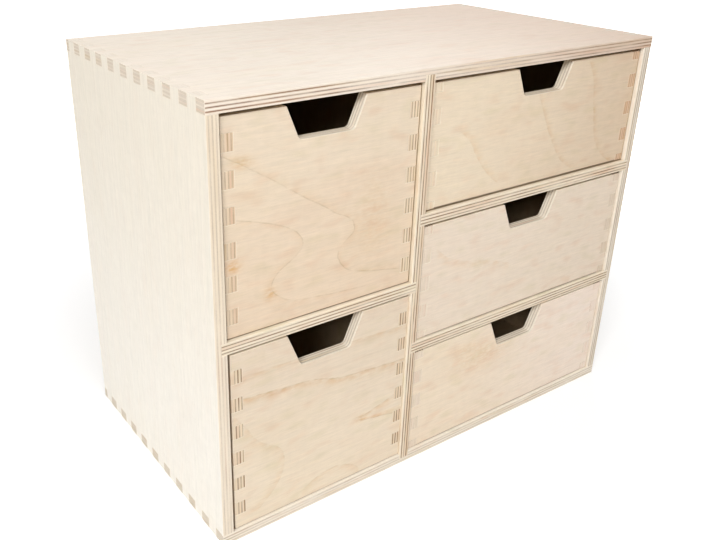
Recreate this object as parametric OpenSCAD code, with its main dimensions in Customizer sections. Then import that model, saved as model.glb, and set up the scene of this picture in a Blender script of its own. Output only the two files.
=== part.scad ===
// Desktop chest of mini drawers in plywood: two tall drawers in a narrow left bay and three low
// drawers in a wide right bay. The case and every drawer box are finger jointed, the divider and
// the shelves are let into housings, and each drawer front has a routed finger cut-out.
// X runs to the right, Y to the rear and Z up. The origin is under the middle of the case.

/* [Case] */
// Outside width of the case
case_w = 426; // [380:1:480]
// Outside depth of the case, from the front edges to the rear edges
case_d = 234; // [200:1:300]
// Outside height of the case
case_h = 336; // [300:1:400]
// Thickness of the case and drawer boards
board_t = 9; // [8:0.5:12]
// Clear width of the left bay
left_bay_w = 161; // [140:1:180]
// Width of one finger in the corner joints of the case
case_finger_w = 11.4; // [9:0.1:15]
// Depth of the housings that take the ends of the divider and the shelves
housing_depth = 4.5; // [2:0.5:5]
// Thickness of the back panel
back_t = 3; // [3:0.5:5]
// Width of the rebate that the back panel lies in
rebate_w = 4.5; // [3:0.5:6]

/* [Shelves] */
// How far the left shelf sits below the middle of its bay
left_shelf_drop = 0.6; // [-5:0.1:5]
// How far the lower right shelf sits below a third of the way up its bay
lower_right_shelf_drop = 1; // [-5:0.1:5]

/* [Drawers] */
// Gap at each side of a drawer that stands in the middle of its bay
side_gap = 1.5; // [1.5:0.05:2]
// Gap above a drawer
top_gap = 2.8; // [1:0.1:4]
// Running gap under a drawer
slide_gap = 0.3; // [0.2:0.05:0.5]
// Least gap behind the drawer that sits furthest in
rear_gap = 0.5; // [0.3:0.1:5]
// How far the three right drawers stand to the right of the middle of their bay
right_shift = 0.6; // [-1.2:0.05:1.2]
// Whole fingers up each corner of a tall drawer, between its end fingers
tall_fingers = 11; // [7:2:13]
// Whole fingers up each corner of a low drawer, between its end fingers
low_fingers = 7; // [5:2:9]
// Height of the end fingers of the low drawers, at their top and bottom corners
low_end_finger = 7; // [4:0.1:10]
// Thickness of the drawer bottoms
bottom_t = 3; // [3:0.5:4]
// Depth of the grooves that hold the drawer bottoms
groove_depth = 4; // [2:0.5:5]
// Height of the grooves above the lower edge of the boards
groove_rise = 5; // [4:0.5:7]
// Width of a cut-out at its floor, before the corners are rounded
grip_floor_w = 44; // [30:0.2:48]
// Angle between the walls of a cut-out and the level
grip_wall_angle = 67; // [60:1:80]
// Radius of the two floor corners of a cut-out
grip_corner_r = 4; // [1:0.5:6]

/* [Upper left drawer] */
// How far the front sits behind the front edges of the case
upper_left_recess = 3; // [0:0.1:4]
// How far the drawer stands to the right of the middle of its bay
upper_left_shift = 0.35; // [-1.2:0.05:1.2]
// Height of the end fingers, at the top and bottom corners
upper_left_end_finger = 10.4; // [7:0.1:13]
// Height of the relief under the front
upper_left_relief = 0.3; // [0.1:0.1:1.5]
// Depth of the finger cut-out
upper_left_grip_depth = 22.9; // [15:0.1:28]
// How far the cut-out sits to the right of the middle of the front
upper_left_grip_shift = 0; // [-5:0.1:5]

/* [Lower left drawer] */
// How far the front sits behind the front edges of the case
lower_left_recess = 1.8; // [0:0.1:4]
// How far the drawer stands to the right of the middle of its bay
lower_left_shift = 1.15; // [-1.2:0.05:1.2]
// Height of the end fingers, at the top and bottom corners
lower_left_end_finger = 12.4; // [7:0.1:13]
// Height of the relief under the front
lower_left_relief = 0.1; // [0.1:0.1:1.5]
// Depth of the finger cut-out
lower_left_grip_depth = 27; // [15:0.1:28]
// How far the cut-out sits to the right of the middle of the front
lower_left_grip_shift = 0.9; // [-5:0.1:5]

/* [Upper right drawer] */
// How far the front sits behind the front edges of the case
upper_right_recess = 3.4; // [0:0.1:4]
// Height of the relief under the front
upper_right_relief = 0.9; // [0.1:0.1:1.5]
// Depth of the finger cut-out
upper_right_grip_depth = 21.7; // [15:0.1:28]
// How far the cut-out sits to the right of the middle of the front
upper_right_grip_shift = 0.5; // [-5:0.1:5]

/* [Middle right drawer] */
// How far the front sits behind the front edges of the case
middle_right_recess = 2; // [0:0.1:4]
// Height of the relief under the front
middle_right_relief = 0.5; // [0.1:0.1:1.5]
// Depth of the finger cut-out
middle_right_grip_depth = 23.5; // [15:0.1:28]
// How far the cut-out sits to the right of the middle of the front
middle_right_grip_shift = 1; // [-5:0.1:5]

/* [Lower right drawer] */
// How far the front sits behind the front edges of the case
lower_right_recess = 2; // [0:0.1:4]
// Height of the relief under the front
lower_right_relief = 0.1; // [0.1:0.1:1.5]
// Depth of the finger cut-out
lower_right_grip_depth = 25.4; // [15:0.1:28]
// How far the cut-out sits to the right of the middle of the front
lower_right_grip_shift = 2.4; // [-5:0.1:5]

/* [Hidden] */

// Cuts run this far past the faces that they open through
over = 1;
// Facets of the cut-outs' corner circles
corner_facets = 48;

// Clear depth of the case in front of the back panel
bay_d = case_d - back_t;
// Left face of the divider and clear left edge of the right bay
divider_x = board_t + left_bay_w;
right_bay_x = divider_x + board_t;
right_bay_w = case_w - board_t - right_bay_x;

// Even shares of the height of the two bays, with one shelf on the left and two on the right
tall_share = (case_h - 3 * board_t) / 2;
low_share = (case_h - 4 * board_t) / 3;

// Floors of the openings
lower_left_z = board_t;
upper_left_z = lower_left_z + tall_share + board_t - left_shelf_drop;
lower_right_z = board_t;
middle_right_z = lower_right_z + low_share + board_t - lower_right_shelf_drop;
upper_right_z = lower_right_z + 2 * (low_share + board_t);

// Clear heights of the openings
upper_left_h = tall_share + left_shelf_drop;
lower_left_h = tall_share - left_shelf_drop;
upper_right_h = low_share;
middle_right_h = low_share + lower_right_shelf_drop;
lower_right_h = low_share - lower_right_shelf_drop;

// Finger lines along the corners of the case, counted from the front edge
case_finger_count = ceil(case_d / case_finger_w);
case_lines = [for (k = [0 : case_finger_count]) min(k * case_finger_w, case_d)];

// One depth for all the drawer boxes, set by the front that sits furthest in
deepest_recess = max(
    upper_left_recess,
    lower_left_recess,
    upper_right_recess,
    middle_right_recess,
    lower_right_recess
);
drawer_d = bay_d - deepest_recess - rear_gap;

// Each drawer box: [left face, front face, lower edge, width, height, whole fingers, end finger,
// whether the sides own the end fingers, relief, cut-out depth, cut-out shift]
left_drawer_w = left_bay_w - 2 * side_gap;
right_drawer_w = right_bay_w - 2 * side_gap;
upper_left_drawer = tall_drawer(
    [upper_left_shift, upper_left_recess, upper_left_z],
    upper_left_h,
    upper_left_end_finger,
    upper_left_relief,
    [upper_left_grip_depth, upper_left_grip_shift]
);
lower_left_drawer = tall_drawer(
    [lower_left_shift, lower_left_recess, lower_left_z],
    lower_left_h,
    lower_left_end_finger,
    lower_left_relief,
    [lower_left_grip_depth, lower_left_grip_shift]
);
upper_right_drawer = low_drawer(
    [right_shift, upper_right_recess, upper_right_z],
    upper_right_h,
    upper_right_relief,
    [upper_right_grip_depth, upper_right_grip_shift]
);
middle_right_drawer = low_drawer(
    [right_shift, middle_right_recess, middle_right_z],
    middle_right_h,
    middle_right_relief,
    [middle_right_grip_depth, middle_right_grip_shift]
);
lower_right_drawer = low_drawer(
    [right_shift, lower_right_recess, lower_right_z],
    lower_right_h,
    lower_right_relief,
    [lower_right_grip_depth, lower_right_grip_shift]
);

// A drawer for the left bay, whose end fingers belong to its front and back
function tall_drawer(place, opening_h, end_finger, relief, grip) = [
    board_t + side_gap + place[0],
    place[1],
    place[2] + slide_gap,
    left_drawer_w,
    opening_h - top_gap - slide_gap,
    tall_fingers,
    end_finger,
    false,
    relief,
    grip[0],
    grip[1]
];

// A drawer for the right bay, whose end fingers belong to its sides
function low_drawer(place, opening_h, relief, grip) = [
    right_bay_x + side_gap + place[0],
    place[1],
    place[2] + slide_gap,
    right_drawer_w,
    opening_h - top_gap - slide_gap,
    low_fingers,
    low_end_finger,
    true,
    relief,
    grip[0],
    grip[1]
];

// Heights where the fingers change over, from the lower edge of a drawer to its upper edge
function drawer_lines(drawer) =
    let (h = drawer[4], count = drawer[5], end = drawer[6], width = (h - 2 * end) / count)
    concat([0], [for (k = [0 : count]) end + k * width], [h]);

// Every second span between finger lines, from span number first. A span at either end of the
// joint runs past the end of the board, so that its notch is cut right through.
function finger_spans(lines, first) =
    let (last = len(lines) - 2)
    [for (k = [first : 2 : last]) [
        k == 0 ? lines[k] - over : lines[k],
        k == last ? lines[k + 1] + over : lines[k + 1]
    ]];

// Moves from the case's front lower left corner to the origin under its middle
module in_case() {
    translate([-case_w / 2, -case_d / 2, 0])
        children();
}

// Moves from a drawer box's front lower left corner to its place in the case
module in_drawer(drawer) {
    in_case()
        translate([drawer[0], drawer[1], drawer[2]])
            children();
}

// The board that becomes the top or the bottom, lying with its inner face at Z = 0
module flat_case_board() {
    difference() {
        cube([case_w, case_d, board_t]);
        // Notches for the fingers of the sides
        for (span = finger_spans(case_lines, 1))
            for (x = [-over, case_w - board_t])
                translate([x, span[0], -over])
                    cube([board_t + over, span[1] - span[0], board_t + 2 * over]);
        // Housing for the end of the divider
        translate([divider_x, -over, -over])
            cube([board_t, bay_d + over, housing_depth + over]);
    }
}

// The board that becomes a side, with its outer face at X = 0
module upright_case_board() {
    difference() {
        cube([board_t, case_d, case_h]);
        // Notches for the fingers of the top and the bottom
        for (span = finger_spans(case_lines, 0))
            for (z = [-over, case_h - board_t])
                translate([-over, span[0], z])
                    cube([board_t + 2 * over, span[1] - span[0], board_t + over]);
    }
}

// The space that the back panel fills, cut from the rear inner edges of the outer boards
module back_blank() {
    translate([board_t - rebate_w, bay_d, board_t - rebate_w])
        cube([
            case_w - 2 * (board_t - rebate_w),
            back_t,
            case_h - 2 * (board_t - rebate_w)
        ]);
}

// A shelf between two uprights that lets its ends into housings in both
module shelf_blank(from_x, to_x, floor_z) {
    translate([from_x - housing_depth, 0, floor_z - board_t])
        cube([to_x - from_x + 2 * housing_depth, bay_d, board_t]);
}

module left_shelf_blank() {
    shelf_blank(board_t, divider_x, upper_left_z);
}

module upper_right_shelf_blank() {
    shelf_blank(right_bay_x, case_w - board_t, upper_right_z);
}

module lower_right_shelf_blank() {
    shelf_blank(right_bay_x, case_w - board_t, middle_right_z);
}

module top_panel() {
    color("antiquewhite")
        in_case()
            difference() {
                translate([0, 0, case_h - board_t])
                    flat_case_board();
                back_blank();
            }
}

module bottom_panel() {
    color("blanchedalmond")
        in_case()
            difference() {
                translate([0, 0, board_t])
                    mirror([0, 0, 1])
                        flat_case_board();
                back_blank();
            }
}

module left_side() {
    color("linen")
        in_case()
            difference() {
                upright_case_board();
                back_blank();
                left_shelf_blank();
            }
}

module right_side() {
    color("linen")
        in_case()
            difference() {
                translate([case_w, 0, 0])
                    mirror([1, 0, 0])
                        upright_case_board();
                back_blank();
                upper_right_shelf_blank();
                lower_right_shelf_blank();
            }
}

module divider() {
    color("wheat")
        in_case()
            difference() {
                translate([divider_x, 0, board_t - housing_depth])
                    cube([board_t, bay_d, case_h - 2 * (board_t - housing_depth)]);
                left_shelf_blank();
                upper_right_shelf_blank();
                lower_right_shelf_blank();
            }
}

module left_shelf() {
    color("burlywood")
        in_case()
            left_shelf_blank();
}

module upper_right_shelf() {
    color("burlywood")
        in_case()
            upper_right_shelf_blank();
}

module lower_right_shelf() {
    color("burlywood")
        in_case()
            lower_right_shelf_blank();
}

module back_panel() {
    color("tan")
        in_case()
            back_blank();
}

// Outline of a finger cut-out, centred on X = 0 with the front's top edge at Y = 0.
// Its straight walls lean outwards and meet the floor in two round corners.
module grip_outline(depth) {
    setback = grip_corner_r * tan(grip_wall_angle / 2);
    floor_x = grip_floor_w / 2 - setback;
    wall_x = grip_floor_w / 2 + setback * cos(grip_wall_angle);
    wall_y = setback * sin(grip_wall_angle) - depth;
    mouth_x = grip_floor_w / 2 + (depth + over) / tan(grip_wall_angle);
    polygon([
        [-mouth_x, over],
        [-wall_x, wall_y],
        [-floor_x, -depth],
        [floor_x, -depth],
        [wall_x, wall_y],
        [mouth_x, over]
    ]);
    for (side = [-1, 1])
        translate([side * floor_x, grip_corner_r - depth])
            circle(r = grip_corner_r, $fn = corner_facets);
}

// A drawer's bottom, which fills the grooves of the four boards round it
module bottom_blank(drawer) {
    inset = board_t - groove_depth;
    translate([inset, inset, groove_rise])
        cube([drawer[3] - 2 * inset, drawer_d - 2 * inset, bottom_t]);
}

// The shallow relief cut under the front end of a drawer, across its front and both sides
module relief_blank(drawer) {
    translate([-over, -over, -over])
        cube([drawer[3] + 2 * over, board_t + over, drawer[8] + over]);
}

// The board across the front or the rear of a drawer, with notches for the sides' fingers
module cross_board(drawer) {
    w = drawer[3];
    lines = drawer_lines(drawer);
    difference() {
        cube([w, board_t, drawer[4]]);
        for (span = finger_spans(lines, drawer[7] ? 0 : 1))
            for (x = [-over, w - board_t])
                translate([x, -over, span[0]])
                    cube([board_t + over, board_t + 2 * over, span[1] - span[0]]);
    }
}

// A side of a drawer, with notches for the fingers of the front and the back
module side_board(drawer) {
    lines = drawer_lines(drawer);
    difference() {
        cube([board_t, drawer_d, drawer[4]]);
        for (span = finger_spans(lines, drawer[7] ? 1 : 0))
            for (y = [-over, drawer_d - board_t])
                translate([-over, y, span[0]])
                    cube([board_t + 2 * over, board_t + over, span[1] - span[0]]);
    }
}

module drawer_front(drawer) {
    color("navajowhite")
        in_drawer(drawer)
            difference() {
                cross_board(drawer);
                bottom_blank(drawer);
                relief_blank(drawer);
                translate([drawer[3] / 2 + drawer[10], board_t + over, drawer[4]])
                    rotate([90, 0, 0])
                        linear_extrude(board_t + 2 * over)
                            grip_outline(drawer[9]);
            }
}

module drawer_back(drawer) {
    color("burlywood")
        in_drawer(drawer)
            difference() {
                translate([0, drawer_d - board_t, 0])
                    cross_board(drawer);
                bottom_blank(drawer);
            }
}

module drawer_left_side(drawer) {
    color("wheat")
        in_drawer(drawer)
            difference() {
                side_board(drawer);
                bottom_blank(drawer);
                relief_blank(drawer);
            }
}

module drawer_right_side(drawer) {
    color("wheat")
        in_drawer(drawer)
            difference() {
                translate([drawer[3] - board_t, 0, 0])
                    side_board(drawer);
                bottom_blank(drawer);
                relief_blank(drawer);
            }
}

module drawer_bottom(drawer) {
    color("moccasin")
        in_drawer(drawer)
            bottom_blank(drawer);
}

top_panel();
bottom_panel();
left_side();
right_side();
divider();
left_shelf();
upper_right_shelf();
lower_right_shelf();
back_panel();

drawer_front(upper_left_drawer);  // upper_left_drawer_front
drawer_back(upper_left_drawer);  // upper_left_drawer_back
drawer_left_side(upper_left_drawer);  // upper_left_drawer_left_side
drawer_right_side(upper_left_drawer);  // upper_left_drawer_right_side
drawer_bottom(upper_left_drawer);  // upper_left_drawer_bottom

drawer_front(lower_left_drawer);  // lower_left_drawer_front
drawer_back(lower_left_drawer);  // lower_left_drawer_back
drawer_left_side(lower_left_drawer);  // lower_left_drawer_left_side
drawer_right_side(lower_left_drawer);  // lower_left_drawer_right_side
drawer_bottom(lower_left_drawer);  // lower_left_drawer_bottom

drawer_front(upper_right_drawer);  // upper_right_drawer_front
drawer_back(upper_right_drawer);  // upper_right_drawer_back
drawer_left_side(upper_right_drawer);  // upper_right_drawer_left_side
drawer_right_side(upper_right_drawer);  // upper_right_drawer_right_side
drawer_bottom(upper_right_drawer);  // upper_right_drawer_bottom

drawer_front(middle_right_drawer);  // middle_right_drawer_front
drawer_back(middle_right_drawer);  // middle_right_drawer_back
drawer_left_side(middle_right_drawer);  // middle_right_drawer_left_side
drawer_right_side(middle_right_drawer);  // middle_right_drawer_right_side
drawer_bottom(middle_right_drawer);  // middle_right_drawer_bottom

drawer_front(lower_right_drawer);  // lower_right_drawer_front
drawer_back(lower_right_drawer);  // lower_right_drawer_back
drawer_left_side(lower_right_drawer);  // lower_right_drawer_left_side
drawer_right_side(lower_right_drawer);  // lower_right_drawer_right_side
drawer_bottom(lower_right_drawer);  // lower_right_drawer_bottom
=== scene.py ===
"""Looks of a desktop chest of mini drawers: bare birch plywood, soft studio light, a pale floor.

Coordinates in a material are millimetres in the board's own wood space: along the grain of its
outer plies, across that grain, and depth through its thickness from one face.
"""

import math

import bpy
from mathutils import Matrix, Vector


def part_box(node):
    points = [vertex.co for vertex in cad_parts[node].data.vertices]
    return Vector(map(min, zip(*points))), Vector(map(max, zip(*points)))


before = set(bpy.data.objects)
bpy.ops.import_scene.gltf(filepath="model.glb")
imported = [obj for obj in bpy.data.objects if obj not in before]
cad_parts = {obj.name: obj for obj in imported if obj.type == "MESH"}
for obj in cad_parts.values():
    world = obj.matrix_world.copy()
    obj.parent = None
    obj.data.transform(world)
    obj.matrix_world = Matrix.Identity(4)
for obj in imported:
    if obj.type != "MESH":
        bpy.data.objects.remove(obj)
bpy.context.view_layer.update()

MM = 0.001
AXES = "XYZ"


# ---------------------------------------------------------------- shader arithmetic


class Term:
    """A value inside a node tree, so that a material can be written as plain arithmetic."""

    def __init__(self, graph, socket):
        self.graph = graph
        self.socket = socket

    def __add__(self, other):
        return self.graph.math("ADD", self, other)

    def __sub__(self, other):
        return self.graph.math("SUBTRACT", self, other)

    def __rsub__(self, other):
        return self.graph.math("SUBTRACT", other, self)

    def __mul__(self, other):
        return self.graph.math("MULTIPLY", self, other)

    def __truediv__(self, other):
        return self.graph.math("DIVIDE", self, other)

    __radd__ = __add__
    __rmul__ = __mul__

    def absolute(self):
        return self.graph.math("ABSOLUTE", self)

    def squared(self):
        return self.graph.math("MULTIPLY", self, self)

    def root(self):
        return self.graph.math("SQRT", self)

    def floor(self):
        return self.graph.math("FLOOR", self)

    def fraction(self):
        return self.graph.math("FRACT", self)

    def clamped(self):
        return self.graph.math("ADD", self, 0.0, clamp=True)

    def bell(self, width):
        """1 where this is 0, and fading to nothing at about two widths on either side."""
        return self.graph.math("EXPONENT", (self / width).squared() * -1.0)


class Graph:
    """Adds nodes to one node tree. A value is a Term, a socket or a plain number or colour."""

    def __init__(self, tree):
        self.tree = tree

    def node(self, kind, values=(), **settings):
        made = self.tree.nodes.new("ShaderNode" + kind)
        for name, value in settings.items():
            setattr(made, name, value)
        for key, value in dict(values).items():
            self.put(made.inputs[key], value)
        return made

    def put(self, socket, value):
        if isinstance(value, Term):
            value = value.socket
        if isinstance(value, bpy.types.NodeSocket):
            self.tree.links.new(value, socket)
        else:
            socket.default_value = value

    def term(self, socket):
        return Term(self, socket)

    def math(self, operation, first, second=0.0, clamp=False):
        made = self.node("Math", {0: first, 1: second}, operation=operation, use_clamp=clamp)
        return self.term(made.outputs[0])

    def blend(self, share, low, high):
        """low where share is 0, high where it is 1."""
        return low + (high - low) * share if isinstance(low, Term) else (high - low) * share + low

    def ramp(self, value, start, end):
        """0 at start, 1 at end, with a smooth change between."""
        made = self.node(
            "MapRange",
            {"Value": value, "From Min": start, "From Max": end},
            interpolation_type="SMOOTHSTEP",
        )
        return self.term(made.outputs["Result"])

    def noise(self, x, y, z, detail=2.0, roughness=0.5):
        """Smooth noise between about -1 and 1, with features about one unit of x, y and z wide."""
        at = self.node("CombineXYZ", {0: x, 1: y, 2: z})
        made = self.node(
            "TexNoise",
            {"Vector": at.outputs[0], "Scale": 1.0, "Detail": detail, "Roughness": roughness},
        )
        return (self.term(made.outputs[0]) - 0.5) * 3.0

    def mix_colour(self, share, low, high, kind="MIX"):
        made = self.node("Mix", data_type="RGBA", blend_type=kind, clamp_factor=True)
        colours = [s for s in made.inputs if s.type == "RGBA"]
        self.put(made.inputs[0], share)
        self.put(colours[0], low)
        self.put(colours[1], high)
        return next(s for s in made.outputs if s.type == "RGBA")

    def curve(self, value, points):
        """A smooth curve through a few (input, output) points, each between 0 and 1."""
        made = self.node("FloatCurve", {"Factor": 1.0, "Value": value})
        line = made.mapping.curves[0]
        line.points[0].location = points[0]
        line.points[1].location = points[-1]
        for point in points[1:-1]:
            line.points.new(*point)
        made.mapping.update()
        return self.term(made.outputs[0])


def srgb(red, green, blue):
    """A colour given as it shows on a screen, 0 to 255, in the linear form that shaders take."""
    linear = []
    for value in (red, green, blue):
        share = value / 255
        linear.append(share / 12.92 if share <= 0.04045 else ((share + 0.055) / 1.055) ** 2.4)
    return (*linear, 1.0)


# ---------------------------------------------------------------- plywood

# Colours of the wood, as they show in plain light, with the painted shade and highlight colours
# among them
CASE_VENEER = srgb(243, 234, 219)
TOP_VENEER = srgb(249, 237, 222)
# Painted shade at the top's right end, with a warmer tint
TOP_FAR_SHADE = srgb(222, 199, 179)
# Painted light on the left side: darker high up, paler low down
LEFT_HIGH_SHADE = srgb(238, 229, 213)
LEFT_LOW_LIGHT = srgb(250, 244, 233)
FRONT_VENEER = srgb(233, 216, 191)
FRONT_FAR_VENEER = srgb(216, 194, 168)
PALE_FRONT_VENEER = srgb(233, 217, 198)
PALE_FRONT_FAR_VENEER = srgb(228, 211, 191)
UPPER_LEFT_HIGH = srgb(230, 213, 190)
UPPER_LEFT_LOW = srgb(229, 208, 183)
LOWER_LEFT_HIGH = srgb(227, 210, 188)
LOWER_LEFT_LOW = srgb(235, 219, 196)
LOWER_RIGHT_NEAR = srgb(237, 220, 197)
LOWER_RIGHT_FAR = srgb(242, 226, 211)
UPPER_RIGHT_LEFT_SIDE = srgb(236, 219, 195)
LOWER_RIGHT_RIGHT_SIDE = srgb(241, 225, 210)
INNER_VENEER = srgb(230, 211, 184)
RIM_VENEER = srgb(240, 228, 207)
# Painted shade of the gaps and drawer insides, for faces that look inwards
INNER_PAINTED_SHADE = srgb(190, 165, 132)
PALE_EDGE = srgb(254, 246, 228)
TAN_STRIP = srgb(216, 186, 156)
RED_STRIP = srgb(208, 168, 134)
WARM_EDGE = srgb(228, 208, 180)
CONTOUR_BROWN = srgb(174, 147, 104)
CONTOUR_TINT = srgb(236, 206, 160)
# Painted highlight on the arrises
ARRIS_HIGHLIGHT = srgb(250, 241, 226)
END_GRAIN = srgb(124, 82, 46)
EDGE_TAN = srgb(196, 183, 162)
GLUE_LINE = srgb(128, 84, 48)
FOOT_SHADE_COLOUR = srgb(84, 60, 40)
# Painted shade along the foot of a drawer front
PORE = srgb(190, 158, 122)
ROSY = srgb(238, 206, 184)
YELLOWISH = srgb(238, 222, 186)
GREENISH = srgb(226, 228, 200)

# The marks of the wood: their sizes in mm, along the fibres, across them and through the board,
# and how much they lighten and darken it
BROAD_SIZE = (140, 45, 9)
MOTTLE_SIZE = (24, 11, 11)
STREAK_SIZE = (70, 3.2, 3.2)
GRAIN_SIZE = (16, 1.4, 1.4)
FIBRE_SIZE = (9, 0.45, 0.45)
SHIMMER_SIZE = (5, 18, 9)
PORE_SIZE = (2.6, 0.2, 0.2)
STREAK_LIGHT = 0.045
GRAIN_LIGHT = 0.05
FIBRE_LIGHT = 0.062
END_FIBRE_LIGHT = 0.05
SHIMMER_LIGHT = 0.015

# Yearly rings. LATE is where in a ring its dark wood ends, as a share of the ring.
RINGS = 5.0
LATE = 0.93
RING_STRENGTH = 0.4

# Plies: how far each one's pattern is moved from the last, in mm, and the widths of the lines on
# sawn edges, as a share of a ply for the end grain and in mm for the glue
PLY_SHIFT = 37.1
LINE_SHARE = 0.26
THIN_LINE_SHARE = 0.17
GLUE_WIDTH = 0.14
GLUE_STRENGTH = 0.35
PLY_TINT = 0.5

MOTTLE_STRENGTH = 0.32
PORE_STRENGTH = 0.4
ARRIS_HIGHLIGHT_STRENGTH = 0.35
ROUGHNESS = 0.6

FLOAT_INPUTS = (
    *("Along", "Across", "Depth", "Facing along", "Facing across", "Facing depth"),
    *("Plies", "Ply thickness", "Edge lines", "End lines", "Edge tone", "End tone"),
    *("Lined plies", "Contours", "Blush", "Line", "Tint", "Foot shade"),
)
COLOUR_INPUTS = ("Veneer", "Edge colour")
FLOAT_OUTPUTS = ("Roughness", "Height")


def add_sockets(tree):
    """The sockets of the node group for plywood."""
    for name in FLOAT_INPUTS:
        tree.interface.new_socket(name, in_out="INPUT", socket_type="NodeSocketFloat")
    for name in COLOUR_INPUTS:
        tree.interface.new_socket(name, in_out="INPUT", socket_type="NodeSocketColor")
    tree.interface.new_socket("Colour", in_out="OUTPUT", socket_type="NodeSocketColor")
    for name in FLOAT_OUTPUTS:
        tree.interface.new_socket(name, in_out="OUTPUT", socket_type="NodeSocketFloat")


def veneer_rings(g, along, across):
    """Contours, where the knife has cut the rings at a shallow angle: where the dark wood is, where
    its thin outer line is, and how strongly both show."""
    height = g.noise(along / 260 + 3.1, across / 70 + 1.7, 0.0, detail=1.0, roughness=0.3)
    wobble = g.noise(along / 12, across / 4, 4.0, detail=2.0) * 0.006
    ring = ((height + wobble) * RINGS).fraction()
    late = g.ramp(ring, 0.2, LATE) - g.ramp(ring, LATE, LATE + 0.06)
    thin = (ring - LATE).bell(0.03)
    patchy = g.ramp(g.noise(along / 90, across / 35, 9.0), -0.3, 0.9)
    return late, thin, patchy


def plywood_group():
    """The wood itself: plies that cross each other, fibres, pores, end grain and glue lines."""
    tree = bpy.data.node_groups.new("plywood", "ShaderNodeTree")
    add_sockets(tree)
    g = Graph(tree)
    given = tree.nodes.new("NodeGroupInput")
    value = {s.name: g.term(s) for s in given.outputs if s.name}
    along = value["Along"]
    across = value["Across"]
    depth = value["Depth"]

    # Which ply a point is in, and the directions along and across that ply's fibres
    layer = (depth / value["Ply thickness"]).floor()
    layer = g.math("MINIMUM", g.math("MAXIMUM", layer, 0.0), value["Plies"] - 1.0)
    crossed = g.math("MODULO", layer, 2.0)
    fibre = g.blend(crossed, along, across) + layer * PLY_SHIFT
    side = g.blend(crossed, across, along) + layer * PLY_SHIFT
    facing_fibre = g.blend(crossed, value["Facing along"], value["Facing across"])
    on_edge = (1.0 - value["Facing depth"].squared()).clamped()
    end_grain = facing_fibre.squared().clamped()

    def mark(size, **settings):
        return g.noise(fibre / size[0], side / size[1], depth / size[2], **settings)

    broad = mark(BROAD_SIZE)
    mottle = mark(MOTTLE_SIZE, detail=1.0)
    streaks = mark(STREAK_SIZE, detail=3.0)
    grain = mark(GRAIN_SIZE, detail=2.0)
    fibres = mark(FIBRE_SIZE, detail=3.0, roughness=0.65)
    shimmer = mark(SHIMMER_SIZE, detail=1.0)
    pores = g.ramp(mark(PORE_SIZE, detail=1.0), 0.45, 0.95)

    # The face veneer: soft patches of pink, yellow and green, contours and pores
    blush = value["Blush"]
    mottling = g.ramp(blush, 0.0, 0.25) * MOTTLE_STRENGTH
    late, thin, patchy = veneer_rings(g, along, across)
    rings = value["Contours"] * patchy * (1.0 - on_edge)
    colour = value["Veneer"].socket
    colour = g.mix_colour(g.ramp(broad, -0.2, 1.2) * blush, colour, ROSY, "MULTIPLY")
    colour = g.mix_colour(g.ramp(broad, 0.2, -1.2) * blush, colour, YELLOWISH, "MULTIPLY")
    colour = g.mix_colour(g.ramp(mottle, 0.05, 0.9) * mottling, colour, ROSY, "MULTIPLY")
    colour = g.mix_colour(g.ramp(mottle, -0.05, -0.9) * mottling, colour, GREENISH, "MULTIPLY")
    colour = g.mix_colour(late * rings * RING_STRENGTH, colour, CONTOUR_TINT, "MULTIPLY")
    colour = g.mix_colour(thin * rings * RING_STRENGTH, colour, CONTOUR_BROWN)
    colour = g.mix_colour(value["Tint"], colour, CONTOUR_TINT, "MULTIPLY")
    colour = g.mix_colour(value["Line"], colour, CONTOUR_BROWN)
    colour = g.mix_colour(pores * (1.0 - end_grain) * PORE_STRENGTH, colour, PORE)

    # Sawn edges: a tone over all and a tint of its own for each ply, then a brown line along each
    # ply that shows its end grain, and the glue as a finer line, both fading in and out
    fading = g.ramp(g.noise(along / 38, across / 38, layer * 1.7, detail=2.0), -0.9, 0.7)
    in_ply = (depth / value["Ply thickness"]).fraction()
    line_share = g.blend(value["Lined plies"], LINE_SHARE, THIN_LINE_SHARE)
    middle = (in_ply - 0.5).bell(line_share)
    on_end = value["Facing along"].squared()
    tone = g.blend(on_end, value["Edge tone"], value["End tone"]) * on_edge
    colour = g.mix_colour(tone * (streaks * 0.12 + 0.8), colour, value["Edge colour"])
    ply_tint = g.noise(along / 70, across / 70, layer * 5.3 + 20.0, detail=1.0) * on_edge
    ply_tint = ply_tint * g.ramp(value["Edge lines"], 0.0, 0.4)
    colour = g.mix_colour(g.ramp(ply_tint, 0.1, 1.0) * PLY_TINT, colour, ROSY, "MULTIPLY")
    colour = g.mix_colour(g.ramp(ply_tint, -0.1, -1.0) * PLY_TINT, colour, YELLOWISH, "MULTIPLY")
    lines = g.blend(on_end, value["Edge lines"] * (fading * 0.75 + 0.25), value["End lines"])
    lined = g.blend(value["Lined plies"], end_grain, crossed)
    dark = (lined * on_edge * lines * (middle * 1.2 + 0.15)).clamped()
    colour = g.mix_colour(dark, colour, END_GRAIN)
    from_glue = g.math("MINIMUM", in_ply, 1.0 - in_ply) * value["Ply thickness"]
    glue = from_glue.bell(GLUE_WIDTH) * on_edge * value["Edge lines"] * fading
    colour = g.mix_colour(glue * GLUE_STRENGTH, colour, GLUE_LINE)

    # Painted highlight along the arrises, and painted shade along the foot of a drawer front for
    # the gap under it
    arris = g.math("MAXIMUM", value["Facing along"].squared(), value["Facing across"].squared())
    arris = g.math("MAXIMUM", arris, value["Facing depth"].squared())
    # Painted highlight: the bevelled arrises paler, for the light they catch
    colour = g.mix_colour(g.ramp(arris, 0.985, 0.8) * ARRIS_HIGHLIGHT_STRENGTH, colour, ARRIS_HIGHLIGHT)
    colour = g.mix_colour(value["Foot shade"] * (fading * 0.4 + 0.6), colour, FOOT_SHADE_COLOUR)

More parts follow.
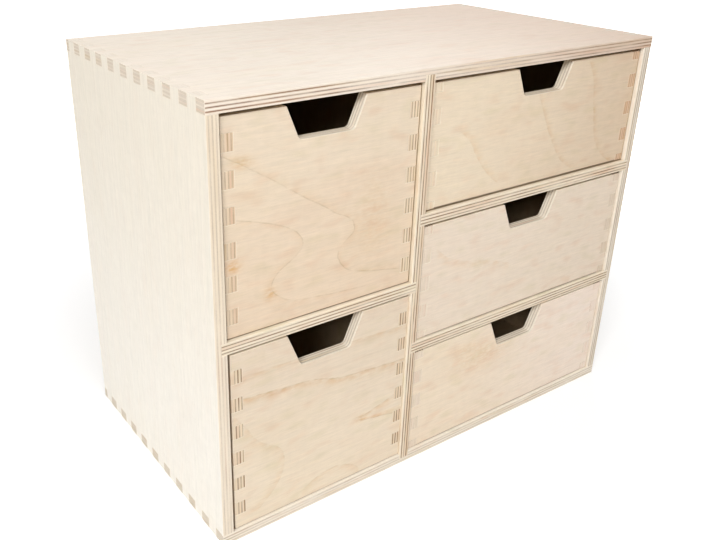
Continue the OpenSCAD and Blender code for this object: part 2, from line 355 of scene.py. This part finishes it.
    light = streaks * STREAK_LIGHT + grain * GRAIN_LIGHT
    light = light + fibres * FIBRE_LIGHT + shimmer * SHIMMER_LIGHT
    light = light + fibres * end_grain * END_FIBRE_LIGHT + 1.0
    bright = g.node("CombineXYZ", {0: light, 1: light, 2: light})
    colour = g.mix_colour(1.0, colour, bright.outputs[0], "MULTIPLY")

    out = tree.nodes.new("NodeGroupOutput")
    g.put(out.inputs["Colour"], colour)
    g.put(out.inputs["Roughness"], fibres * 0.04 + pores * 0.1 + end_grain * 0.15 + ROUGHNESS)
    g.put(out.inputs["Height"], fibres * 0.5 - pores * 0.8 + streaks * 0.3)
    return tree


PLYWOOD = plywood_group()


def board_axes(node, grain):
    """The letters of the axes along the grain, across it and through the board, and its corners."""
    low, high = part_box(node)
    size = high - low
    depth = AXES[min(range(3), key=lambda k: size[k])]
    across = next(a for a in AXES if a not in (grain, depth))
    return (grain, across, depth), low, high


def graded(axis, start, end, near, far):
    """A veneer that changes slowly from one colour to another between two places on an axis. On the
    top panel and the left side it is painted light and shade.
    """

    def colour(g, point, normal):
        return g.mix_colour(g.ramp(point[axis], start, end), near, far)

    return colour


# Where along Y the painted shade of inner faces starts: ahead of every board, or behind a narrow
# unshaded strip along the front edges
WHOLE_FACE = -120
BEHIND_STRIP = -114
BEHIND_BOTTOM_STRIP = -115


def inside_painted_shade(veneer, axis, inward, start=WHOLE_FACE):
    """A veneer with painted shade on the face that looks inwards, from start to the rear: darker
    wood for the shadow in the gaps and inside the drawers.
    inward is the way that face looks along the axis, or 0 for both faces."""

    def colour(g, point, normal):
        # Painted shade: the inward face darkened behind the front edges
        looks = normal[axis] * inward if inward else normal[axis].absolute()
        share = g.ramp(looks, 0.5, 0.9) * g.ramp(point["Y"], start, start + 1)
        return g.mix_colour(share, settled(veneer, g, point, normal), INNER_PAINTED_SHADE)

    return colour


def settled(value, g, point, normal):
    """A look's value, which may be given as a function of the place and the way it faces."""
    return value(g, point, normal) if callable(value) else value


# Boards thicker than this, in mm, have more plies than the thin sheets
THICK_BOARD = 5.0
THICK_PLIES = 7
THIN_PLIES = 3
# Seeds are below SEEDS, and each step of a seed moves a board's pattern by so many mm
SEEDS = 997
SEED_ALONG = 3.7
SEED_ACROSS = 5.3
FOOT_SHADE_FADE = 0.15
FOOT_SHADE_STRENGTH = 0.85
BUMP_STRENGTH = 0.6
BUMP_DEPTH = 0.05 * MM
GLOSS = 0.3


def seed_of(node):
    """A number from a board's name, so that no two boards show the same stretch of wood."""
    return sum(ord(letter) * (k + 3) for k, letter in enumerate(node)) % SEEDS


def plywood(
    node,
    grain,
    veneer,
    edge=0.6,
    end=0.6,
    tone=0.1,
    end_tone=0.4,
    edge_colour=EDGE_TAN,
    lined_plies=0.0,
    contours=0.3,
    blush=0.3,
    face_ply=0.0,
    foot_shade=0.0,
):
    """A material for one board.

    edge and end are the strengths of the lines on its edges along the grain and on its ends
    across it, tone and end_tone the strengths of edge_colour there. lined_plies is 1 where the
    lines keep to the crossed plies all round, and 0 where they follow the end grain. contours and
    blush are the strengths of the rings and of the soft patches on its faces. face_ply is how much
    thicker than the rest the first ply is, and foot_shade how high the board is darkened along its
    foot with painted shade of the gap under it, both in mm.
    """
    (along_axis, across_axis, depth_axis), low, high = board_axes(node, grain)
    material = bpy.data.materials.new("plywood_" + node)
    material.use_nodes = True
    material.node_tree.nodes.clear()
    g = Graph(material.node_tree)
    coords = g.node("TexCoord")
    place = g.node("SeparateXYZ", {0: coords.outputs["Object"]})
    facing = g.node("SeparateXYZ", {0: coords.outputs["Normal"]})
    point = {a: g.term(place.outputs[a]) * (1 / MM) for a in AXES}
    normal = {a: g.term(facing.outputs[a]) for a in AXES}
    low = {a: value / MM for a, value in zip(AXES, low)}
    high = {a: value / MM for a, value in zip(AXES, high)}
    thickness = high[depth_axis] - low[depth_axis]
    plies = THICK_PLIES if thickness > THICK_BOARD else THIN_PLIES
    seed = seed_of(node)
    line, tint, foot = 0.0, 0.0, 0.0
    if node in FIGURES:
        line, tint = figure(g, point["X"] - low["X"], high["Z"] - point["Z"], node)
    # Painted shade of the gap under a drawer front, as a dark band along its foot
    if foot_shade:
        foot = g.ramp(point["Z"] - low["Z"], foot_shade + FOOT_SHADE_FADE, foot_shade - FOOT_SHADE_FADE)
        foot = foot * FOOT_SHADE_STRENGTH
    wood = g.node("Group", node_tree=PLYWOOD)
    values = {
        "Along": point[along_axis] + seed * SEED_ALONG,
        "Across": point[across_axis] + seed * SEED_ACROSS,
        "Depth": point[depth_axis] - low[depth_axis] - face_ply,
        "Facing along": normal[along_axis],
        "Facing across": normal[across_axis],
        "Facing depth": normal[depth_axis],
        "Plies": float(plies),
        "Ply thickness": thickness / plies,
        "Edge lines": edge,
        "End lines": end,
        "Edge tone": tone,
        "End tone": end_tone,
        "Edge colour": edge_colour,
        "Lined plies": lined_plies,
        "Contours": contours,
        "Blush": blush,
        "Veneer": veneer,
        "Line": line,
        "Tint": tint,
        "Foot shade": foot,
    }
    for name, value in values.items():
        g.put(wood.inputs[name], settled(value, g, point, normal))
    bump = g.node(
        "Bump",
        {"Strength": BUMP_STRENGTH, "Distance": BUMP_DEPTH, "Height": wood.outputs["Height"]},
    )
    shader = g.node(
        "BsdfPrincipled",
        {
            "Base Color": wood.outputs["Colour"],
            "Roughness": wood.outputs["Roughness"],
            "Specular IOR Level": GLOSS,
            "Normal": bump.outputs["Normal"],
        },
    )
    out = g.node("OutputMaterial")
    g.put(out.inputs["Surface"], shader.outputs[0])
    return material


# ---------------------------------------------------------------- figure of the drawer fronts

# Contours run through points in mm from a front's top left corner. "steep" ones give (down,
# right), "flat" ones (right, down), and the first number only grows. line and tint are strengths,
# and the tint spreads over reach mm from the line towards larger (side 1) or smaller (side -1)
# second numbers. Blots are soft spots: middle, to the right and down, half widths and strength.
FIGURES = {
    "upper_left_drawer_front": {
        "contours": [
            dict(
                run="steep",
                points=[(24, 0), (42, 30), (62, 60), (78, 85), (94, 104), (104, 95), (111, 90)]
                + [(118, 92), (126, 100), (131, 115), (135, 135), (140, 158)],
                line=0.42,
                tint=0.22,
                reach=4,
                side=1,
            ),
            dict(
                run="steep",
                points=[(66, 0), (76, 35), (83, 50), (90, 58), (97, 60), (103, 55), (115, 38)]
                + [(122, 35), (130, 40), (136, 50), (140, 75), (143, 110)],
                line=0.42,
                tint=0.2,
                reach=4,
                side=-1,
            ),
        ],
        "blots": [
            (5, 100, 6, 5, 1.0),
            (34, 127, 5, 5, 0.7),
            (14, 31, 8, 4, 0.6),
            (120, 90, 18, 34, 0.25),
        ],
    },
    "lower_left_drawer_front": {
        "contours": [
            dict(
                run="flat",
                points=[(0, 20), (60, 21), (158, 25)],
                line=0.1,
                tint=0.4,
                reach=4,
                side=1,
            ),
            dict(
                run="flat",
                points=[(0, 37), (40, 41), (70, 44), (90, 50), (115, 53), (158, 56)],
                line=0.45,
                tint=0.6,
                reach=5,
                side=1,
            ),
            dict(
                run="steep",
                points=[(52, 3), (65, 12), (78, 20), (86, 30), (94, 40), (105, 43), (118, 41)]
                + [(130, 33), (142, 20)],
                line=0.15,
                tint=0.3,
                reach=6,
                side=-1,
            ),
            dict(
                run="steep",
                points=[(84, 158), (89, 143), (94, 125), (98, 115), (101, 125), (104, 143)]
                + [(108, 158)],
                line=0.35,
                tint=0.5,
                reach=5,
                side=1,
            ),
            dict(
                run="flat",
                points=[(60, 143), (70, 138), (85, 134), (105, 138), (115, 146)],
                line=0.2,
                tint=0.3,
                reach=5,
                side=1,
            ),
        ],
        "blots": [(116, 97, 5, 3, 0.8)],
    },
    "upper_right_drawer_front": {
        "contours": [
            dict(
                run="steep",
                points=[(3, 170), (18, 178), (35, 182), (55, 187), (73, 193), (85, 203), (95, 217)],
                line=0.15,
                tint=0.42,
                reach=4,
                side=1,
            ),
            dict(
                run="steep",
                points=[(22, 113), (40, 122), (55, 130), (70, 140), (82, 150), (92, 165)],
                line=0.14,
                tint=0.36,
                reach=4,
                side=1,
            ),
            dict(
                run="steep",
                points=[(40, 30), (50, 42), (60, 48), (75, 60), (88, 75)],
                line=0.11,
                tint=0.36,
                reach=5,
                side=1,
            ),
        ],
        "blots": [],
    },
    "middle_right_drawer_front": {
        "contours": [
            dict(
                run="flat",
                points=[(15, 22), (40, 38), (70, 45), (100, 55)],
                line=0.07,
                tint=0.3,
                reach=6,
                side=1,
            )
        ],
        "blots": [],
    },
    "lower_right_drawer_front": {
        "contours": [],
        "blots": [(80, 28, 34, 14, 0.35), (60, 16, 16, 5, 0.3)],
    },
}
# The sizes that the fronts' curves are scaled to: width and height in mm
LEFT_FRONT_SIZE = (158.0, 151.4)
RIGHT_FRONT_SIZE = (235.0, 96.9)
# Contours in mm: the width of a line, how far it strays, how gradually it starts and ends, and how
# gradually its tint does across it. SLOPE_STEP is the share of a curve its slope is taken over.
LINE_WIDTH = 0.45
WOBBLE = 0.7
END_FADE = 1.5
TINT_FADE = 0.6
SLOPE_STEP = 0.004


def contour(g, right, down, size, run, points, line, tint, reach, side):
    """One contour: its line, and the tint beside it."""
    at, value = (down, right) if run == "steep" else (right, down)
    at_size, value_size = (size[1], size[0]) if run == "steep" else size
    start, end = points[0][0], points[-1][0]
    shares = [(a / at_size, min(max(v / value_size, 0.0), 1.0)) for a, v in points]
    here = g.curve(at / at_size, shares)
    ahead = g.curve(at / at_size + SLOPE_STEP, shares)
    slope = (ahead - here) * (value_size / at_size / SLOPE_STEP)
    wobble = g.noise(right / 10, down / 5, start, detail=3.0) * WOBBLE
    away = (value - here * value_size + wobble) / (slope.squared() + 1.0).root()
    present = g.ramp(at, start - END_FADE, start + END_FADE)
    present = present * g.ramp(at, end + END_FADE, end - END_FADE)
    uneven = g.ramp(g.noise(right / 9, down / 5, end), -0.8, 0.7)
    spread = away.bell(reach) * g.ramp(away * side, -TINT_FADE, TINT_FADE)
    return away.bell(LINE_WIDTH) * present * uneven * line, spread * present * uneven * tint


def figure(g, right, down, node):
    """All the contours and blots of a front, as one line strength and one tint strength."""
    size = LEFT_FRONT_SIZE if "left_drawer" in node else RIGHT_FRONT_SIZE
    line = right * 0.0
    tint = right * 0.0
    for values in FIGURES[node]["contours"]:
        more_line, more_tint = contour(g, right, down, size, **values)
        line = line + more_line
        tint = tint + more_tint
    for x, z, half_w, half_h, strength in FIGURES[node]["blots"]:
        speckle = g.ramp(g.noise(right / 5, down / 2, x), -0.9, 0.6)
        tint = tint + (right - x).bell(half_w) * (down - z).bell(half_h) * speckle * strength
    return line.clamped(), tint.clamped()


# ---------------------------------------------------------------- boards


def top_edge_lines(g, point, normal):
    """The lines on the top panel's front edge: bold at both ends and fainter between."""
    return g.ramp(point["X"], -60, -130) * 0.45 + g.ramp(point["X"], 60, 150) * 0.35 + 0.4


def side_edge(g, point, normal):
    """The colour of the left side's edges: warm in front, and pale as the top panel above."""
    return g.mix_colour(normal["Z"].squared(), WARM_EDGE, TOP_VENEER)


def divider_tone(g, point, normal):
    """The tone of the divider's front edge: tan on its right half."""
    return g.ramp(point["X"], -40.5, -36) * 0.5


def strip_tone(g, point, normal):
    """The tone of the upper left drawer's left fingers: less of it in their outer half."""
    return g.ramp(point["X"], -200, -196) * 0.5 + 0.15


SHELF_VENEER = inside_painted_shade(RIM_VENEER, "Z", 0, BEHIND_STRIP)
CASE_BOARDS = {
    "top_panel": dict(
        grain="X",
        # Painted shade: the top darker and warmer towards its right end, away from the lamps
        veneer=inside_painted_shade(graded("X", -150, 230, TOP_VENEER, TOP_FAR_SHADE), "Z", -1),
        edge=top_edge_lines,
        end=0.12,
        tone=0.2,
        end_tone=0.6,
        contours=0.08,
        blush=0.12,
    ),
    "bottom_panel": dict(
        grain="X",
        veneer=inside_painted_shade(CASE_VENEER, "Z", 1, BEHIND_BOTTOM_STRIP),
        edge=0.4,
        end=0.12,
        end_tone=0.5,
    ),
    "left_side": dict(
        grain="Z",
        # Painted light: the side paler towards its foot, for the light thrown back by the floor
        veneer=inside_painted_shade(graded("Z", 320, 40, LEFT_HIGH_SHADE, LEFT_LOW_LIGHT), "X", 1),
        edge=0.3,
        end=0.04,
        tone=0.7,
        end_tone=0.9,
        edge_colour=side_edge,
        contours=0.08,
        blush=0.06,
    ),
    "right_side": dict(
        grain="Z",
        veneer=inside_painted_shade(CASE_VENEER, "X", -1, BEHIND_STRIP),
        edge=0.6,
        end=0.2,
        tone=0.3,
        contours=0.4,
        blush=0.15,
    ),
    "divider": dict(
        grain="Z",
        veneer=inside_painted_shade(RIM_VENEER, "X", 0, BEHIND_STRIP),
        edge=1.0,
        tone=divider_tone,
        edge_colour=TAN_STRIP,
    ),
    "left_shelf": dict(grain="X", veneer=SHELF_VENEER, edge=0.9, tone=0.05),
    "upper_right_shelf": dict(grain="X", veneer=SHELF_VENEER, edge=0.9, tone=0.05),
    "lower_right_shelf": dict(grain="X", veneer=SHELF_VENEER, edge=0.8, tone=0.05),
    "back_panel": dict(grain="Z", veneer=INNER_VENEER, contours=0.8),
}
DRAWER_BOARDS = {
    "front": dict(
        grain="X",
        veneer=FRONT_VENEER,
        edge=0.65,
        end=0.65,
        tone=0.95,
        end_tone=0.95,
        edge_colour=PALE_EDGE,
        lined_plies=1.0,
        contours=0.1,
        blush=0.18,
    ),
    "back": dict(grain="X", veneer=inside_painted_shade(INNER_VENEER, "Y", -1)),
    "left_side": dict(grain="Z", veneer=inside_painted_shade(FRONT_VENEER, "X", 1), edge=0.5, tone=0.05),
    "right_side": dict(grain="Z", veneer=inside_painted_shade(FRONT_VENEER, "X", -1), edge=0.7, tone=0.05),
    "bottom": dict(grain="X", veneer=inside_painted_shade(INNER_VENEER, "Z", 1)),
}
UPPER_LEFT_VENEER = graded("Z", 320, 190, UPPER_LEFT_HIGH, UPPER_LEFT_LOW)
LOWER_LEFT_VENEER = graded("Z", 150, 20, LOWER_LEFT_HIGH, LOWER_LEFT_LOW)
UPPER_RIGHT_VENEER = graded("X", 0, 220, FRONT_VENEER, FRONT_FAR_VENEER)
MIDDLE_RIGHT_VENEER = graded("X", 0, 240, PALE_FRONT_VENEER, PALE_FRONT_FAR_VENEER)
LOWER_RIGHT_VENEER = graded("X", 0, 200, LOWER_RIGHT_NEAR, LOWER_RIGHT_FAR)
PALE_LEFT_SIDE = inside_painted_shade(PALE_FRONT_VENEER, "X", 1)
# What sets single boards apart from their like
OWN_LOOKS = {
    "upper_left_drawer_front": dict(veneer=UPPER_LEFT_VENEER, foot_shade=0.5),
    "upper_left_drawer_left_side": dict(
        edge=0.4, tone=strip_tone, edge_colour=TAN_STRIP, face_ply=0.4
    ),
    "lower_left_drawer_front": dict(veneer=LOWER_LEFT_VENEER, foot_shade=0.3),
    "lower_left_drawer_left_side": dict(edge=0.9, face_ply=1.2),
    "lower_left_drawer_right_side": dict(edge=0.95),
    "upper_right_drawer_front": dict(veneer=UPPER_RIGHT_VENEER, foot_shade=0.9),
    "upper_right_drawer_left_side": dict(
        veneer=inside_painted_shade(UPPER_RIGHT_LEFT_SIDE, "X", 1), edge=0.1, tone=0.0
    ),
    "upper_right_drawer_right_side": dict(edge=0.5, tone=0.8, edge_colour=RED_STRIP),
    "middle_right_drawer_front": dict(veneer=MIDDLE_RIGHT_VENEER, foot_shade=0.4),
    "middle_right_drawer_left_side": dict(veneer=PALE_LEFT_SIDE, edge=0.1, tone=0.0),
    "middle_right_drawer_right_side": dict(
        veneer=inside_painted_shade(PALE_FRONT_FAR_VENEER, "X", -1), edge=0.15, tone=0.2
    ),
    "lower_right_drawer_front": dict(veneer=LOWER_RIGHT_VENEER, foot_shade=0.4),
    "lower_right_drawer_left_side": dict(veneer=PALE_LEFT_SIDE, edge=0.1, tone=0.0),
    "lower_right_drawer_right_side": dict(
        veneer=inside_painted_shade(LOWER_RIGHT_RIGHT_SIDE, "X", -1), edge=0.06, tone=0.03
    ),
}
ARRIS = 0.3 * MM
WELD = 0.01 * MM
FLAT = math.radians(0.5)
SHARP = math.radians(30)


def ease_edges(board):
    """Rounds the sharp edges of a board a little, so that they catch the light."""
    weld = board.modifiers.new("weld", "WELD")
    weld.merge_threshold = WELD
    flat = board.modifiers.new("flat", "DECIMATE")
    flat.decimate_type = "DISSOLVE"
    flat.angle_limit = FLAT
    bevel = board.modifiers.new("arris", "BEVEL")
    bevel.width = ARRIS
    bevel.segments = 2
    bevel.limit_method = "ANGLE"
    bevel.angle_limit = SHARP


def board_look(node):
    """The settings for a board: its own, and otherwise those of its place in the drawer."""
    if node in CASE_BOARDS:
        return CASE_BOARDS[node]
    return {**DRAWER_BOARDS[node.split("_drawer_")[1]], **OWN_LOOKS.get(node, {})}


for node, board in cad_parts.items():
    material = plywood(node, **board_look(node))
    board.data.materials.clear()
    board.data.materials.append(material)
    ease_edges(board)


# ---------------------------------------------------------------- light, floor and camera

WHITE = (1.0, 1.0, 1.0, 1.0)
# The light of the sky, which grows between two heights (0 is level, 1 straight up)
ZENITH_LIGHT = 0.62
HORIZON_LIGHT = 0.05
SKY_LOW = 0.05
SKY_HIGH = 0.75
FLOOR_COLOUR = srgb(245, 245, 245)
FLOOR_SIZE = 12.0
# How much the floor is lifted towards white where it is seen, and how far from the middle, in m,
# it is lifted least and most
NEAR_LIFT = 0.18
FAR_LIFT = 0.9
NEAR = 0.25
FAR = 0.95
# Lamps: where each one is, what it points at, its width and its power, in m and W
LAMPS = (
    ("left_softbox", (-1.45, -1.15, 1.3), (-0.1, 0, 0.17), 0.7, 23.4),
    ("front_softbox", (-0.5, -1.5, 1.7), (-0.1, 0, 0.17), 0.8, 8.8),
    ("back_softbox", (1.5, 1.3, 0.7), (0.1, 0, 0.17), 0.8, 6),
)


def seen_directly(g):
    """1 for what the camera sees, straight, in a gloss or through glass, and 0 for lighting."""
    path = g.node("LightPath")
    camera = g.term(path.outputs["Is Camera Ray"])
    glossy = g.term(path.outputs["Is Glossy Ray"])
    through = g.term(path.outputs["Is Transmission Ray"])
    return (camera + glossy + through).clamped()


def make_world():
    """White where it is seen, and a soft light from above."""
    world = bpy.data.worlds.new("studio")
    bpy.context.scene.world = world
    world.use_nodes = True
    world.node_tree.nodes.clear()
    g = Graph(world.node_tree)
    way = g.node("SeparateXYZ", {0: g.node("TexCoord").outputs["Generated"]})
    overhead = g.ramp(g.term(way.outputs["Z"]), SKY_LOW, SKY_HIGH)
    light = g.blend(overhead, HORIZON_LIGHT, ZENITH_LIGHT)
    strength = g.blend(seen_directly(g), light, 1.0)
    sky = g.node("Background", {"Color": WHITE, "Strength": strength})
    out = g.node("OutputWorld")
    g.put(out.inputs["Surface"], sky.outputs[0])


def make_floor():
    """A pale floor that keeps the chest's shadow and turns white away from it."""
    half = FLOOR_SIZE / 2
    mesh = bpy.data.meshes.new("floor")
    corners = [(-half, -half, 0), (half, -half, 0), (half, half, 0), (-half, half, 0)]
    mesh.from_pydata(corners, [], [(0, 1, 2, 3)])
    floor = bpy.data.objects.new("floor", mesh)
    bpy.context.scene.collection.objects.link(floor)
    material = bpy.data.materials.new("pale_floor")
    material.use_nodes = True
    material.node_tree.nodes.clear()
    g = Graph(material.node_tree)
    paint = g.node("BsdfDiffuse", {"Color": FLOOR_COLOUR})
    place = g.node("SeparateXYZ", {0: g.node("TexCoord").outputs["Object"]})
    x = g.term(place.outputs["X"])
    y = g.term(place.outputs["Y"])
    away = g.ramp((x.squared() + y.squared()).root(), NEAR, FAR)
    strength = seen_directly(g) * g.blend(away, NEAR_LIFT, FAR_LIFT)
    lift = g.node("Emission", {"Color": WHITE, "Strength": strength})
    both = g.node("AddShader", {0: paint.outputs[0], 1: lift.outputs[0]})
    out = g.node("OutputMaterial")
    g.put(out.inputs["Surface"], both.outputs[0])
    mesh.materials.append(material)


def area_light(name, place, target, size, power):
    data = bpy.data.lights.new(name, "AREA")
    data.shape = "SQUARE"
    data.size = size
    data.energy = power
    lamp = bpy.data.objects.new(name, data)
    bpy.context.scene.collection.objects.link(lamp)
    place = Vector(place)
    lamp.location = place
    lamp.rotation_euler = (Vector(target) - place).to_track_quat("-Z", "Y").to_euler()


# The camera, from a perspective fit to the chest's edges: where it stands, which way it looks, its
# roll, and in pixels of the frame its focal length and its optical axis
IMAGE_W = 716
IMAGE_H = 540
CAMERA_PLACE = Vector((-421.6, -526.1, 449.4)) * MM
CAMERA_LOOK = Vector((0.52254, 0.74576, -0.41328))
CAMERA_ROLL = math.radians(0.83)
FOCAL_PIXELS = 805.9
AXIS_X = 313.9
AXIS_Y = 250.2
SENSOR_W = 36.0


def make_camera():
    data = bpy.data.cameras.new("camera")
    data.sensor_fit = "HORIZONTAL"
    data.sensor_width = SENSOR_W
    data.lens = FOCAL_PIXELS / IMAGE_W * SENSOR_W
    data.shift_x = (IMAGE_W / 2 - AXIS_X) / IMAGE_W
    data.shift_y = (AXIS_Y - IMAGE_H / 2) / IMAGE_W
    data.clip_start = 0.01
    data.clip_end = 50.0
    camera = bpy.data.objects.new("camera", data)
    bpy.context.scene.collection.objects.link(camera)
    level = CAMERA_LOOK.to_track_quat("-Z", "Y").to_matrix().to_4x4()
    roll = Matrix.Rotation(CAMERA_ROLL, 4, "Z")
    camera.matrix_world = Matrix.Translation(CAMERA_PLACE) @ level @ roll
    bpy.context.scene.camera = camera


make_world()
make_floor()
for lamp in LAMPS:
    area_light(*lamp)
make_camera()
bpy.context.scene.view_settings.view_transform = "Standard"
